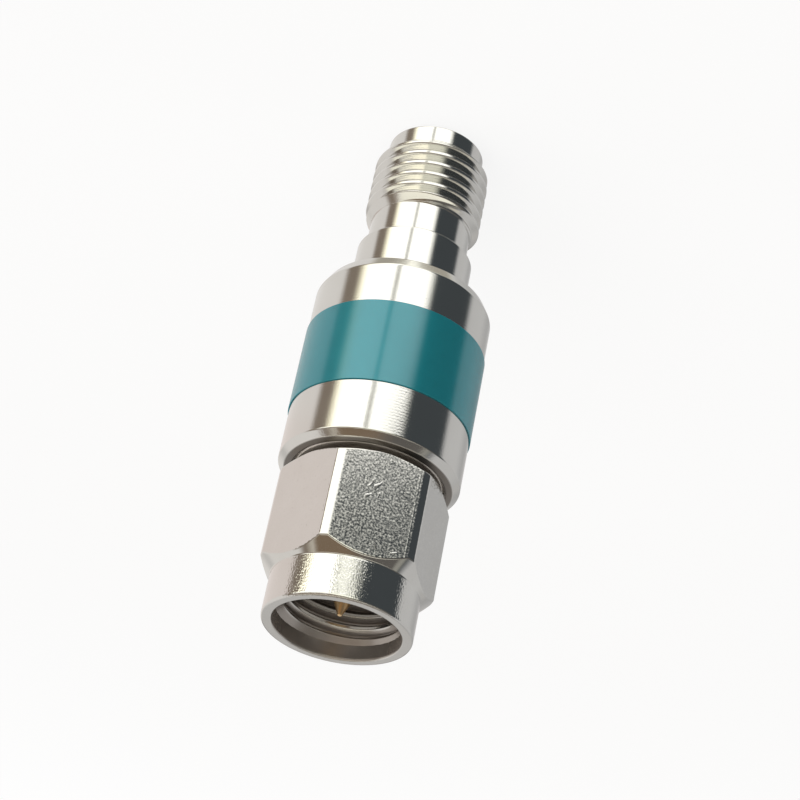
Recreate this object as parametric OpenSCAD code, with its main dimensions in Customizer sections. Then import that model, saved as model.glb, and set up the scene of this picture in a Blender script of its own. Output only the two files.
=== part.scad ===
// Coaxial fixed attenuator: a threaded jack below, a plain barrel, and a captive coupling nut above.
// Millimetres. The origin is the centre of the jack's rim and +Z runs along the common axis.

/* [Jack nose] */
// Major diameter of the connector's thread, on the jack and in the nut
thread_d = 6.35; // [6.1:0.05:6.6]
// Length of the jack thread with its two tapered ends
thread_l = 4.45; // [3.5:0.05:6]
// Length of the plain lead-in ahead of the jack thread
lead_l = 1.0; // [0.7:0.05:1.5]
// Wall of the lead-in around the jack's mouth
lead_wall = 0.33; // [0.28:0.01:0.45]
// Depth of the jack's mouth down to the reference plane
jack_mouth_depth = 1.95; // [1.6:0.05:2.4]
// Depth of the relief groove behind the thread
relief_depth = 0.425; // [0.3:0.025:0.5]
// Length of the relief groove behind the thread
relief_l = 1.85; // [1:0.05:3]
// Diameter of the collar below the barrel
collar_d = 6.3; // [6:0.05:6.8]
// Length of the collar below the barrel
collar_l = 3.1; // [2.5:0.05:5]

/* [Barrel] */
// Diameter of the barrel
barrel_d = 9.5; // [9:0.1:11]
// Length of the barrel
barrel_l = 11.1; // [10:0.1:16]
// Radial size of the long chamfer on the barrel's jack side
jack_edge = 0.35; // [0.1:0.05:0.6]
// Axial size of that long chamfer
jack_edge_l = 0.65; // [0.1:0.05:1]
// Size of the chamfer on the barrel's nut side
nut_edge = 0.4; // [0.1:0.05:0.5]
// Thickness of the barrel's closed end
floor_t = 1.2; // [0.8:0.05:2]
// Wall of the barrel around the plug shell's flange
barrel_wall = 0.79; // [0.7:0.01:1]
// Width of the ledge that the flange seats on
seat_ledge = 0.36; // [0.2:0.02:0.5]

/* [Label] */
// Width of the label band along the axis
label_w = 4.86; // [3:0.02:6]
// Thickness of the label film
label_t = 0.06; // [0.03:0.01:0.15]
// Distance of the label from the barrel's nut side
label_inset = 3.26; // [1:0.02:4]
// Width of the label's butt seam
label_seam = 0.2; // [0.1:0.05:0.5]

/* [Plug shell] */
// Thickness of the flange that closes the barrel
flange_t = 2.9; // [2.4:0.05:3.5]
// Depth of the flange's face below the barrel's end
flange_recess = 0.08; // [0.02:0.01:0.15]
// Wall of the thin ferrule around the insulator
ferrule_wall = 0.215; // [0.18:0.005:0.25]
// Distance from the ferrule's end to the nut's rim
ferrule_depth = 3.0; // [2.6:0.05:3.4]
// Width of the shoulder between the ferrule and the neck
shoulder_w = 0.66; // [0.6:0.02:0.75]
// Depth of the ring groove in the neck
groove_depth = 0.53; // [0.45:0.01:0.6]
// Length of the neck between the ring groove and the gasket's shoulder
neck_land = 0.9; // [0.5:0.05:1.2]

/* [Coupling nut] */
// Distance between the barrel's end and the nut
nut_stand_off = 0.25; // [0.1:0.05:0.6]
// Length from the nut's back to the start of its skirt
hex_l = 5.97; // [5.4:0.01:7]
// Height of the round corners above the hexagon's flats
corner_h = 0.5; // [0.3:0.05:0.6]
// Axial size of the chamfer at the hexagon's back
hex_back_edge = 0.4; // [0.2:0.05:0.6]
// Margin between the nut's flat back face and the hexagon's flats
back_margin = 0.05; // [0:0.01:0.2]
// Length of the skirt
skirt_l = 2.28; // [1.5:0.02:3]
// Wall of the skirt around its mouth
skirt_wall = 0.575; // [0.5:0.025:0.8]
// Step from the hexagon's flats down to the skirt
skirt_step = 0.175; // [0.05:0.025:0.3]
// Depth of the plain mouth ahead of the thread
mouth_depth = 0.85; // [0.4:0.05:1.2]
// Height of the ridges of the nut's thread
nut_thread_h = 0.305; // [0.25:0.005:0.35]
// Depth of the relief behind the nut's thread
nut_relief_depth = 0.2; // [0.1:0.02:0.3]

/* [Retaining ring] */
// Width of the split ring across its section
ring_w = 0.62; // [0.5:0.02:0.7]
// Thickness of the ring along the axis
ring_t = 0.5; // [0.3:0.05:0.6]
// Angle left open between the ring's ends
ring_split = 24; // [10:1:40]
// Distance of the ring from the nut's back face
ring_inset = 0.75; // [0.5:0.05:1]
// Axial play of the nut on its neck
nut_float = 0.35; // [0.1:0.05:0.5]

/* [Gasket] */
// Thickness of the sealing gasket
gasket_t = 0.8; // [0.5:0.05:1]

/* [Coaxial line] */
// Diameter of the insulators
insulator_d = 4.13; // [4.0:0.01:4.2]
// Height of the shoulder at the inner end of each insulator
insulator_step = 0.385; // [0.2:0.005:0.45]
// Length of that shoulder
insulator_step_l = 2.0; // [1:0.1:2.4]
// Diameter of the plug's pin
pin_d = 0.914; // [0.88:0.002:0.94]
// Distance of the pin's point behind the nut's rim
pin_depth = 0.86; // [0.86:0.02:1.2]
// Length of the pin's cone
pin_cone_l = 0.9; // [0.5:0.05:1.1]
// Diameter of the flat on the pin's point
pin_point_d = 0.16; // [0.1:0.02:0.3]
// Depth of the bore in the jack's socket contact
socket_bore_l = 3.0; // [2.4:0.1:4]
// Depth of the socket's end below the reference plane
socket_recess = 0.05; // [0.02:0.01:0.15]
// Number of spring fingers, two to each slot that is sawn across
fingers = 4; // [2, 4, 6]
// Wall of the fingers
finger_t = 0.165; // [0.14:0.005:0.2]
// Length of the fingers
finger_l = 2.6; // [1.5:0.1:3.5]
// Width of the slots between the fingers
finger_slot = 0.12; // [0.08:0.01:0.16]
// Height of the collar that keeps each centre conductor in its insulator
line_collar_h = 0.215; // [0.1:0.005:0.3]
// Length of that collar
line_collar_l = 1.2; // [0.6:0.1:1.6]

/* [Resistor chip] */
// Width of the chip
chip_w = 3.6; // [3.3:0.05:4.2]
// Length of the chip along the axis
chip_l = 4.0; // [3:0.1:4.8]
// Thickness of the chip
chip_t = 0.5; // [0.4:0.02:0.6]
// Thickness of the silver on the chip
metal_t = 0.03; // [0.025:0.005:0.05]
// Reach of the silver over the chip's long edges
ground_w = 0.4; // [0.35:0.01:0.5]
// Reach of the bush over the chip's long edges
bush_grip = 0.3; // [0.2:0.02:0.34]
// Width of the silver pads at the chip's ends
pad_w = 1.4; // [1:0.05:1.8]
// Reach of those pads along the axis
pad_l = 0.6; // [0.55:0.05:0.8]
// Thickness of the resistor film
film_t = 0.02; // [0.01:0.005:0.025]
// Depth of the slot that grips each end of the chip
fork_l = 0.5; // [0.3:0.05:0.5]
// Width of the split between the bush's halves
bush_split = 0.06; // [0.02:0.02:0.12]

/* [Small edges and clearances] */
// Size of the small broken edges
edge = 0.1; // [0.05:0.01:0.12]
// Gap around pieces that are pressed or glued in
press_gap = 0.01; // [0.005:0.005:0.02]
// Radial gap between the nut's bore and the neck
turn_gap = 0.1; // [0.05:0.01:0.15]
// Radial gap inside and outside the retaining ring
ring_room = 0.15; // [0.1:0.01:0.2]
// Gap at each side of the retaining ring
ring_gap = 0.03; // [0.02:0.01:0.06]
// Gap between the gasket and the ferrule
gasket_gap = 0.03; // [0.02:0.01:0.06]
// Distance from the gasket to the nut's thread
thread_gap = 0.2; // [0.1:0.05:0.4]
// Radial gap around a jack's thread in the nut's mouth
mouth_gap = 0.075; // [0.05:0.005:0.1]
// Radial gap around a plug's ferrule in the jack's mouth
ferrule_gap = 0.03; // [0.01:0.005:0.05]
// Radial gap around a plug's pin in the socket
socket_gap = 0.013; // [0.01:0.001:0.03]

/* [Hidden] */
$fn = 96;
overshoot = 1;

// Levels of the housing, from the jack's rim up
z_thread = lead_l;
z_relief = z_thread + thread_l;
z_collar = z_relief + relief_l;
z_barrel = z_collar + collar_l;
z_end = z_barrel + barrel_l;
z_floor = z_barrel + floor_t;
z_seat = z_end - flange_t;

// Levels of the nut, its ring and the plug shell
z_nut = z_end + nut_stand_off;
z_skirt = z_nut + hex_l;
z_rim = z_skirt + skirt_l;
z_mouth = z_rim - mouth_depth;
z_ring = z_nut + ring_inset;
z_groove_top = z_ring + ring_t + nut_float + ring_gap;
z_shoulder = z_groove_top + neck_land;
z_gasket_top = z_shoulder + gasket_t;
z_ferrule = z_rim - ferrule_depth;
z_point = z_rim - pin_depth;

// Levels of the line and the chip
z_socket = jack_mouth_depth + socket_recess;
z_chip = (z_floor + z_seat - chip_l) / 2;
z_chip_top = z_chip + chip_l;

// Radii of the coaxial line, from the pin outwards
pin_r = pin_d / 2;
socket_r = pin_r + socket_gap;
line_r = socket_r + finger_t;
line_collar_r = line_r + line_collar_h;
insulator_r = insulator_d / 2;
step_r = insulator_r + insulator_step;
ferrule_r = insulator_r + press_gap + ferrule_wall;
jack_mouth_r = ferrule_r + ferrule_gap;

// Radii of the neck, its ring and the nut that turns on it
neck_r = ferrule_r + shoulder_w;
groove_r = neck_r - groove_depth;
ring_r = groove_r + ring_room;
nut_bore_r = neck_r + turn_gap;
nut_groove_r = ring_r + ring_w + ring_room;

// Radii of the nut's thread, skirt and hexagon
thread_r = thread_d / 2;
mouth_r = thread_r + mouth_gap;
nut_thread_r = thread_r - nut_thread_h;
skirt_r = mouth_r + skirt_wall;
flat_r = skirt_r + skirt_step;
corner_r = flat_r + corner_h;

// Radii of the barrel and what it holds
barrel_r = barrel_d / 2;
seat_r = barrel_r - barrel_wall;
chamber_r = seat_r - seat_ledge;

// Sizes of the chip's seat in the bush and in the forks
bush_l = z_seat - z_floor;
grip_t = chip_t + 2 * metal_t;

nickel = [0.80, 0.79, 0.76];
gold = [0.86, 0.68, 0.36];
silver = [0.84, 0.84, 0.83];
teal = [0.16, 0.56, 0.59];
white = [0.95, 0.95, 0.93];
black = [0.12, 0.12, 0.13];

// A solid of revolution from its half section, given as radius and height
module turned(section) rotate_extrude() polygon(section);

// A plain tube
module tube(outer_r, inner_r, z, l)
    turned([[inner_r, z], [outer_r, z], [outer_r, z + l], [inner_r, z + l]]);

// A block that is centred on the axis in X and Y
module block(w, t, z, l) translate([-w / 2, -t / 2, z]) cube([w, t, l]);

// The jack nose, collar and barrel are turned and bored from one bar
module housing() color(nickel) {
    lead_r = jack_mouth_r + lead_wall;
    relief_r = thread_r - relief_depth;
    collar_r = collar_d / 2;
    bore_r = insulator_r + press_gap;
    nose = [[jack_mouth_r + edge, 0], [lead_r - edge, 0], [lead_r, edge], [lead_r, z_thread],
        [thread_r, z_thread + thread_r - lead_r], [thread_r, z_relief - relief_depth],
        [relief_r, z_relief], [relief_r, z_collar]];
    barrel = [[collar_r - edge, z_collar], [collar_r, z_collar + edge], [collar_r, z_barrel],
        [barrel_r - jack_edge, z_barrel], [barrel_r, z_barrel + jack_edge_l],
        [barrel_r, z_end - nut_edge], [barrel_r - nut_edge, z_end]];
    chamber = [[seat_r + edge, z_end], [seat_r, z_end - edge], [seat_r, z_seat],
        [chamber_r, z_seat], [chamber_r, z_floor]];
    line_bore = [[step_r + press_gap, z_floor], [step_r + press_gap, z_floor - insulator_step_l],
        [bore_r, z_floor - insulator_step_l], [bore_r, jack_mouth_depth],
        [jack_mouth_r, jack_mouth_depth], [jack_mouth_r, edge]];
    turned(concat(nose, barrel, chamber, line_bore));
}

// Film label, wrapped once round the barrel with its seam at the back
module label_band() color(teal) {
    inner_r = barrel_r + press_gap;
    difference() {
        tube(inner_r + label_t, inner_r, z_end - label_inset - label_w, label_w);
        translate([-label_seam / 2, 0, z_barrel]) cube([label_seam, barrel_d, barrel_l]);
    }
}

// Outer conductor of the plug: flange, grooved neck and thin ferrule
module plug_shell() color(nickel) {
    flange_r = seat_r - press_gap;
    bore_r = insulator_r + press_gap;
    z_face = z_end - flange_recess;
    flange = [[step_r + press_gap, z_seat], [flange_r - edge, z_seat], [flange_r, z_seat + edge],
        [flange_r, z_face - edge], [flange_r - edge, z_face], [neck_r, z_face]];
    groove = [[neck_r, z_ring - ring_gap], [groove_r, z_ring - ring_gap],
        [groove_r, z_groove_top], [neck_r, z_groove_top]];
    nose = [[neck_r, z_shoulder], [ferrule_r, z_shoulder], [ferrule_r, z_ferrule - edge],
        [ferrule_r - edge, z_ferrule]];
    line_bore = [[bore_r, z_ferrule], [bore_r, z_seat + insulator_step_l],
        [step_r + press_gap, z_seat + insulator_step_l]];
    turned(concat(flange, groove, nose, line_bore));
}

// Turned blank of the nut: chamfered outside, mouth, thread bore, relief and ring groove
module nut_blank() {
    z_nut_thread = z_gasket_top + thread_gap;
    outside = [[nut_bore_r + edge, z_nut], [flat_r - back_margin, z_nut], [corner_r, z_nut + hex_back_edge],
        [corner_r, z_skirt - corner_r + skirt_r], [skirt_r, z_skirt], [skirt_r, z_rim - edge],
        [skirt_r - edge, z_rim]];
    mouth = [[mouth_r + edge, z_rim], [mouth_r, z_rim - edge], [mouth_r, z_mouth],
        [nut_thread_r, z_mouth - mouth_r + nut_thread_r], [nut_thread_r, z_nut_thread]];
    relief = [[nut_bore_r + nut_relief_depth, z_nut_thread], [nut_bore_r + nut_relief_depth, z_shoulder],
        [nut_bore_r, z_shoulder]];
    groove = [[nut_bore_r, z_ring + ring_t + ring_gap], [nut_groove_r, z_ring + ring_t + ring_gap],
        [nut_groove_r, z_ring - ring_gap], [nut_bore_r, z_ring - ring_gap], [nut_bore_r, z_nut + edge]];
    turned(concat(outside, mouth, relief, groove));
}

// Hex coupling nut: the blank with six flats milled on it, so the corners stay round
module coupling_nut() color(nickel) intersection() {
    nut_blank();
    translate([0, 0, z_nut - overshoot])
        cylinder(r = flat_r / cos(30), h = z_rim - z_nut + 2 * overshoot, $fn = 6);
}

// Split spring ring that is trapped by the neck's groove and the nut's groove
module retaining_ring() color(gold)
    rotate(90 + ring_split / 2) rotate_extrude(angle = 360 - ring_split)
        translate([ring_r, z_ring]) square([ring_w, ring_t]);

// Rubber gasket on the neck's shoulder
module sealing_gasket() color(black)
    tube(neck_r, ferrule_r + gasket_gap, z_shoulder, gasket_t);

// Slot across a centre conductor that grips one end of the chip
module fork_slot() block(2 * line_r + overshoot, grip_t, z_chip - metal_t, chip_l + 2 * metal_t);

// Centre conductor of the plug: pin in front, collar and chip fork behind
module plug_pin() color(gold) difference() {
    z_fork = z_chip_top - fork_l;
    turned([[0, z_fork], [line_r, z_fork], [line_r, z_seat], [line_collar_r, z_seat],
        [line_collar_r, z_seat + line_collar_l], [line_r, z_seat + line_collar_l],
        [line_r, z_ferrule], [pin_r, z_ferrule], [pin_r, z_point - pin_cone_l],
        [pin_point_d / 2, z_point], [0, z_point]]);
    fork_slot();
}

// Socket of the jack: sawn spring fingers in front, collar and chip fork behind
module socket_contact() color(gold) difference() {
    z_fork = z_chip + fork_l;
    finger_edge = finger_t / 3;
    turned([[socket_r + finger_edge, z_socket], [line_r - finger_edge, z_socket],
        [line_r, z_socket + finger_edge], [line_r, z_floor - line_collar_l],
        [line_collar_r, z_floor - line_collar_l], [line_collar_r, z_floor], [line_r, z_floor],
        [line_r, z_fork], [0, z_fork], [0, z_socket + socket_bore_l],
        [socket_r, z_socket + socket_bore_l], [socket_r, z_socket + finger_edge]]);
    for (i = [0 : fingers / 2 - 1]) rotate(45 + i * 360 / fingers)
        block(2 * line_r + overshoot, finger_slot, z_socket - overshoot, finger_l + overshoot);
    fork_slot();
}

// Half section of an insulator: its shoulder starts at z_in and its open face is at z_out
function insulator_section(z_in, z_out) =
    let (way = sign(z_out - z_in),
        hole_r = line_r + press_gap,
        collar_hole_r = line_collar_r + press_gap,
        z_step = z_in + way * insulator_step_l,
        z_collar_end = z_in + way * line_collar_l)
    [[collar_hole_r, z_in], [step_r, z_in], [step_r, z_step], [insulator_r, z_step],
        [insulator_r, z_out], [hole_r, z_out], [hole_r, z_collar_end], [collar_hole_r, z_collar_end]];

module plug_insulator() color(white) turned(insulator_section(z_seat, z_ferrule));

module socket_insulator() color(white) turned(insulator_section(z_floor, jack_mouth_depth));

module chip_substrate() color(white) block(chip_w, chip_t, z_chip, chip_l);

// Resistor film on the chip's back face, between the four silver terminals
module resistor_film() color(black)
    translate([0, chip_t / 2 + film_t / 2, 0])
        block(chip_w - 2 * ground_w, film_t, z_chip + pad_l, chip_l - 2 * pad_l);

// Silver pad that wraps one end of the chip
module end_pad(z) color(silver) difference() {
    block(pad_w, grip_t, z, pad_l + metal_t);
    chip_substrate();
}

module input_pad() end_pad(z_chip - metal_t);

module output_pad() end_pad(z_chip_top - pad_l);

// Silver wrap on both long edges of the chip
module ground_metal() color(silver) difference() {
    block(chip_w + 2 * metal_t, grip_t, z_chip, chip_l);
    block(chip_w - 2 * ground_w, grip_t + overshoot, z_chip - overshoot, chip_l + 2 * overshoot);
    chip_substrate();
}

// One half of the ground bush, with its side of the line bore and of the chip's seat
module clamp_half(side) color(gold) difference() {
    bush_r = chamber_r - press_gap;
    translate([0, 0, z_floor]) cylinder(r = bush_r, h = bush_l);
    translate([0, 0, z_floor - overshoot]) cylinder(r = chip_w / 2 - bush_grip, h = bush_l + 2 * overshoot);
    translate([0, side * (bush_split / 2 - bush_r), 0])
        block(2 * bush_r + overshoot, 2 * bush_r, z_floor - overshoot, bush_l + 2 * overshoot);
    block(chip_w + 2 * (metal_t + press_gap), grip_t, z_chip - metal_t, chip_l + 2 * metal_t);
}

module clamp_front() clamp_half(-1);

module clamp_back() clamp_half(1);

housing();
label_band();
plug_shell();
coupling_nut();
retaining_ring();
sealing_gasket();
plug_pin();
plug_insulator();
socket_contact();
socket_insulator();
chip_substrate();
resistor_film();
input_pad();
output_pad();
ground_metal();
clamp_front();
clamp_back();
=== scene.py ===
# %% [markdown]
# # A screw-on coaxial attenuator
#
# The object is a turned metal part, 30 mm long: a threaded jack at one end, a round barrel with a coloured
# film, and a hexagon nut that turns freely at the other end, around a gold pin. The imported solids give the
# exact places and sizes, so this lesson starts from them and replaces what needs a finer skin: threads,
# rounded edges, plating.

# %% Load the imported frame
import math

import bmesh
import bpy
import numpy as np
from mathutils import Matrix, Vector


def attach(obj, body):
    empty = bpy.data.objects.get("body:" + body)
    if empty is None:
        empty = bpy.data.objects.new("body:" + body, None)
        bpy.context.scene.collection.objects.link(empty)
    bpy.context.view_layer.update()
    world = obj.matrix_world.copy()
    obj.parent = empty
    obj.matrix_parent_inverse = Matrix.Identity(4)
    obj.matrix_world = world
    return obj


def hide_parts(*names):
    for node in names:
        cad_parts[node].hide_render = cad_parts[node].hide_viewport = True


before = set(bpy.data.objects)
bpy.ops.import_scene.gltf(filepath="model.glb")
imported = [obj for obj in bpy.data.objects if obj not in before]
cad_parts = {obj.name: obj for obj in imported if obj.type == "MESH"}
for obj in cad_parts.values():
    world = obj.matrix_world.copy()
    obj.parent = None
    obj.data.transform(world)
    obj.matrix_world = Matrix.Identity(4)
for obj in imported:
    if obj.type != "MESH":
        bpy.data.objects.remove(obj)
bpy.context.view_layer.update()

MM = 0.001
scene = bpy.context.scene
scene.view_settings.view_transform = "Standard"

# %% [markdown]
# ## Camera
#
# A photograph of a product on white is usually taken from near, with a long lens. Here the part stands on
# its jack and the camera looks down at it, turned almost upside down, so that the nut comes out below and
# the jack above. The camera's place, aim, roll and focal length were fitted to the part's edges. A camera's
# own axes are X to the right, Y up and Z backwards, so the rotation is written straight from those three
# directions.

# %% Place the camera
CAMERA_TURN = math.radians(9.6)
CAMERA_REACH, CAMERA_HEIGHT = 98.218, 75.582
AIM_SIDE, AIM_HEIGHT = -0.778, 16.236
CAMERA_ROLL = 3.345
FOCAL_PIXELS, IMAGE_PIXELS, SENSOR_WIDTH = 2188.73, 800, 36.0
NEAREST, FARTHEST = 0.005, 20.0

round_axis = Matrix.Rotation(CAMERA_TURN, 3, "Z")
eye = round_axis @ Vector((0, -CAMERA_REACH, CAMERA_HEIGHT))
sight = (round_axis @ Vector((AIM_SIDE, 0, AIM_HEIGHT)) - eye).normalized()
level = sight.cross(Vector((0, 0, 1))).normalized()
rise = level.cross(sight)
right = math.cos(CAMERA_ROLL) * level + math.sin(CAMERA_ROLL) * rise
above = math.cos(CAMERA_ROLL) * rise - math.sin(CAMERA_ROLL) * level

lens = bpy.data.cameras.new("product_camera")
lens.sensor_width = SENSOR_WIDTH
lens.lens = FOCAL_PIXELS / IMAGE_PIXELS * SENSOR_WIDTH
lens.clip_start, lens.clip_end = NEAREST, FARTHEST
camera = bpy.data.objects.new("product_camera", lens)
scene.collection.objects.link(camera)
axes = Matrix((right, above, -sight)).transposed().to_4x4()
camera.matrix_world = Matrix.Translation(eye * MM) @ axes
scene.camera = camera
print("lens in mm:", round(lens.lens, 2), "distance in mm:", round(eye.length, 1))

# %% [markdown]
# ## Formulas for shaders
#
# A finish is a formula of the place on the surface. Wiring Math nodes by hand hides that formula, so a
# small class wraps a node's output and turns Python's operators into Math nodes. One method makes every
# other node: it sets the settings first, because some of them change which sockets a node has, and then
# fills or links the sockets.

# %% Sockets that calculate, and the graph that holds them
class Socket:
    """An output of a node that can stand in a formula."""

    def __init__(self, graph, plug):
        self.graph, self.plug = graph, plug

    def __getitem__(self, name):
        return Socket(self.graph, self.plug.node.outputs[name])

    def maths(self, operation, *values):
        return self.graph.node("ShaderNodeMath", {"operation": operation}, dict(enumerate(values)))

    def __add__(self, other):
        return self.maths("ADD", self, other)

    def __sub__(self, other):
        return self.maths("SUBTRACT", self, other)

    def __rsub__(self, other):
        return self.maths("SUBTRACT", other, self)

    def __mul__(self, other):
        return self.maths("MULTIPLY", self, other)

    __radd__, __rmul__ = __add__, __mul__

    def sine(self):
        return self.maths("SINE", self)

    def step(self, low, high):
        """0 below low, 1 above high, and a smooth rise between them."""
        return self.graph.node("ShaderNodeMapRange", {"interpolation_type": "SMOOTHSTEP"},
                               {"Value": self, "From Min": low, "From Max": high})


class Graph:
    """The node tree of one material, or of the world."""

    def __init__(self, owner):
        owner.use_nodes = True
        self.tree = owner.node_tree
        self.tree.nodes.clear()

    def node(self, kind, settings=None, inputs=None, output=0):
        made = self.tree.nodes.new(kind)
        for name, value in (settings or {}).items():
            setattr(made, name, value)
        for name, value in (inputs or {}).items():
            socket = made.inputs[name]
            if isinstance(value, Socket):
                self.tree.links.new(value.plug, socket)
            else:
                socket.default_value = (*value, 1) if socket.type == "RGBA" else value
        return Socket(self, made.outputs[output]) if made.outputs else None

    def mix(self, share, first, second):
        """The first colour where share is 0, the second where it is 1."""
        inputs = {0: share, 6: first, 7: second}
        return self.node("ShaderNodeMix", {"data_type": "RGBA"}, inputs, output=2)


def between(value, start, end):
    """1 from a soft start to a soft end, each given by two values, and 0 outside."""
    return value.step(*start) * (1 - value.step(*end))


print("operators ready:", [name for name in ("__add__", "__sub__", "__mul__") if hasattr(Socket, name)])

# %% [markdown]
# ## Floor
#
# The part stands on white paper. A wide disc just below the rim does that, and it takes the soft shadow.
# Bright plating mirrors whatever is below it, and paper would fill the whole barrel with plain white, so
# the disc is hidden from mirror rays: those see the studio tent that the next step builds, also below the
# horizon. For the camera the paper is mostly plain white, and wholly so away from the part, so that the
# shadow is light and no horizon shows. That white doesn't light the part. From below the paper is
# see-through, so that the underside can be looked at.

# %% Lay the floor
FLOOR_RADIUS, FLOOR_DROP, FLOOR_CORNERS = 2.5, 0.00002, 96
WHITE_SHARE, SHADOW_REACH, WHITE_FROM = 0.85, 0.05, 0.16
PAPER_DARK, PAPER_LIGHT, WHITE = (0.95, 0.95, 0.95), (0.97, 0.97, 0.97), (1.0, 1.0, 1.0)
FIBRE_SCALE = 400.0

paper_mesh = bpy.data.meshes.new("paper_floor")
paper_disc = bmesh.new()
bmesh.ops.create_circle(paper_disc, cap_ends=True, segments=FLOOR_CORNERS, radius=FLOOR_RADIUS)
paper_disc.to_mesh(paper_mesh)
paper_disc.free()
floor = bpy.data.objects.new("paper_floor", paper_mesh)
floor.location.z = -FLOOR_DROP
floor.visible_glossy = False
scene.collection.objects.link(floor)

paper = bpy.data.materials.new("white_paper")
graph = Graph(paper)
fibres = graph.node("ShaderNodeTexNoise", None, {"Scale": FIBRE_SCALE, "Detail": 3.0})
tone = graph.mix(fibres, PAPER_DARK, PAPER_LIGHT)
sheet = graph.node("ShaderNodeBsdfPrincipled", None, {"Base Color": tone, "Roughness": 0.9})
white = graph.node("ShaderNodeEmission", None, {"Color": WHITE})
seen = graph.node("ShaderNodeLightPath", output="Is Camera Ray")
spot = graph.node("ShaderNodeTexCoord", output="Object")
away = graph.node("ShaderNodeVectorMath", {"operation": "LENGTH"}, {0: spot}, output="Value")
share = WHITE_SHARE + (1 - WHITE_SHARE) * away.step(SHADOW_REACH, WHITE_FROM)
sheet = graph.node("ShaderNodeMixShader", None, {0: share * seen, 1: sheet, 2: white})
from_below = graph.node("ShaderNodeNewGeometry", output="Backfacing")
open_air = graph.node("ShaderNodeBsdfTransparent")
sheet = graph.node("ShaderNodeMixShader", None, {0: from_below, 1: sheet, 2: open_air})
graph.node("ShaderNodeOutputMaterial", None, {"Surface": sheet})
paper_mesh.materials.append(paper)
print("floor radius in m:", FLOOR_RADIUS, "facing up:", paper_mesh.polygons[0].normal.z > 0)

# %% [markdown]
# ## Studio tent
#
# Bright plating has no colour of its own to speak of: what it shows is the studio. A photographer sets a
# shiny tube in a pale tent, with a large softbox in front and a flag at each side of it, and the tube turns
# them into bands along its length. Lamps and cards could be set up as objects. The world does the same in
# one place, as a function of direction: the turn away from the camera, in degrees, positive to the right of
# the picture, and the lift above the horizon.

# %% Direction of a ray in the studio
tent = bpy.data.worlds.new("studio_tent")
scene.world = tent
graph = Graph(tent)
ray = graph.node("ShaderNodeTexCoord", output="Generated")
to_camera = Vector((eye.x, eye.y, 0)).normalized()
to_right = Vector((to_camera.y, -to_camera.x, 0))


def along(direction):
    """The part of a ray that runs along a direction."""
    return graph.node("ShaderNodeVectorMath", {"operation": "DOT_PRODUCT"},
                      {0: ray, 1: direction}, output="Value")


front, side, up = along(to_camera), along(to_right), along((0, 0, 1))
turn = side.maths("ARCTAN2", side, front) * math.degrees(1)
lift = up.maths("ARCSINE", up) * math.degrees(1)
print("direction to the camera:", [round(x, 3) for x in to_camera])

# %% [markdown]
# The camera looks down, so upright faces mirror the tent below the horizon, and each height of the part has
# its own storey there: the jack and the barrel the lowest one, the nut the next, and the grooves of the
# thread, which pass a ray from flank to flank, the top one. The dark flag on the right starts at another
# turn in each storey, and is softest for the nut, whose flats pick up its edge.

# %% Storeys, and where the dark flag starts
NUT_STOREY, THREAD_STOREY = (-30.7, -29.7), (-24.6, -23.2)
FLAG_MIDDLE, FLAG_HALF = (28.5, 10.0, 18.0), (7.0, 16.0, 8.0)

at_nut, at_thread = lift.step(*NUT_STOREY), lift.step(*THREAD_STOREY)


def by_storey(low, nut, thread):
    """A value that has another size in each of the three storeys."""
    return low + (nut - low) * at_nut + (thread - nut) * at_thread


flag_middle, flag_half = by_storey(*FLAG_MIDDLE), by_storey(*FLAG_HALF)
past_panels = turn.step(flag_middle - flag_half, flag_middle + flag_half)
print("turn at which the dark flag starts, by storey:", FLAG_MIDDLE)

# %% [markdown]
# The walls are pale, warm at the left and grey at the right, with a darker corner there. A brown flag
# stands at the left and the dark one at the right, and between them is a dim front, brighter for the
# thread. Far below the horizon the floor glows, with a shade behind the part.

# %% Paint the walls, the flags and the glow from below
PALE_LEFT, PALE_LEVEL = (0.93, 0.905, 0.88), (0.925, 0.845, 0.81)
PALE_RIGHT, GREY_CORNER = (0.68, 0.68, 0.68), (0.48, 0.48, 0.48)
BROWN_FLAG, DARK_FLAG = (0.29, 0.24, 0.195), (0.068, 0.078, 0.085)
DIM_FRONT, LIT_FRONT = (0.90, 0.92, 0.78), (1.6, 1.62, 1.42)
BELOW_LEFT, BELOW_RIGHT, UNDERSHADE = (1.4, 1.39, 1.3), (1.9, 1.92, 1.72), (0.50, 0.47, 0.40)
RIGHT_SIDE, BEHIND, CORNER = (-0.6, 0.6), (-0.05, 0.05), ((120.0, 150.0), (160.0, 178.0))
BROWN_TURNS, FRONT_TURNS = ((-95.0, -84.0), (-62.0, -56.0)), ((-30.0, -16.0), (86.0, 97.0))
LEVEL_TOP, LIT_TOP = (-18.0, -8.0), (2.0, 8.0)
BELOW_TOP, UNDERSHADE_LIFTS = (-80.0, -62.0), ((-89.0, -84.0), (-70.0, -64.0))

on_right = side.step(*RIGHT_SIDE)
left_wall = graph.mix(at_nut * (1 - lift.step(*LEVEL_TOP)), PALE_LEFT, PALE_LEVEL)
right_wall = graph.mix(between(turn, *CORNER), PALE_RIGHT, GREY_CORNER)
walls = graph.mix(on_right, left_wall, right_wall)
walls = graph.mix(between(turn, *BROWN_TURNS), walls, BROWN_FLAG)
lit = at_thread * (1 - lift.step(*LIT_TOP))
front_wall = graph.mix(past_panels, graph.mix(lit, DIM_FRONT, LIT_FRONT), DARK_FLAG)
walls = graph.mix(between(turn, *FRONT_TURNS), walls, front_wall)
below = graph.mix(on_right, BELOW_LEFT, BELOW_RIGHT)
walls = graph.mix(1 - lift.step(*BELOW_TOP), walls, below)
behind = 1 - front.step(*BEHIND)
walls = graph.mix(behind * between(lift, *UNDERSHADE_LIFTS), walls, UNDERSHADE)
print("nodes in the tent:", len(tent.node_tree.nodes))

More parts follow.
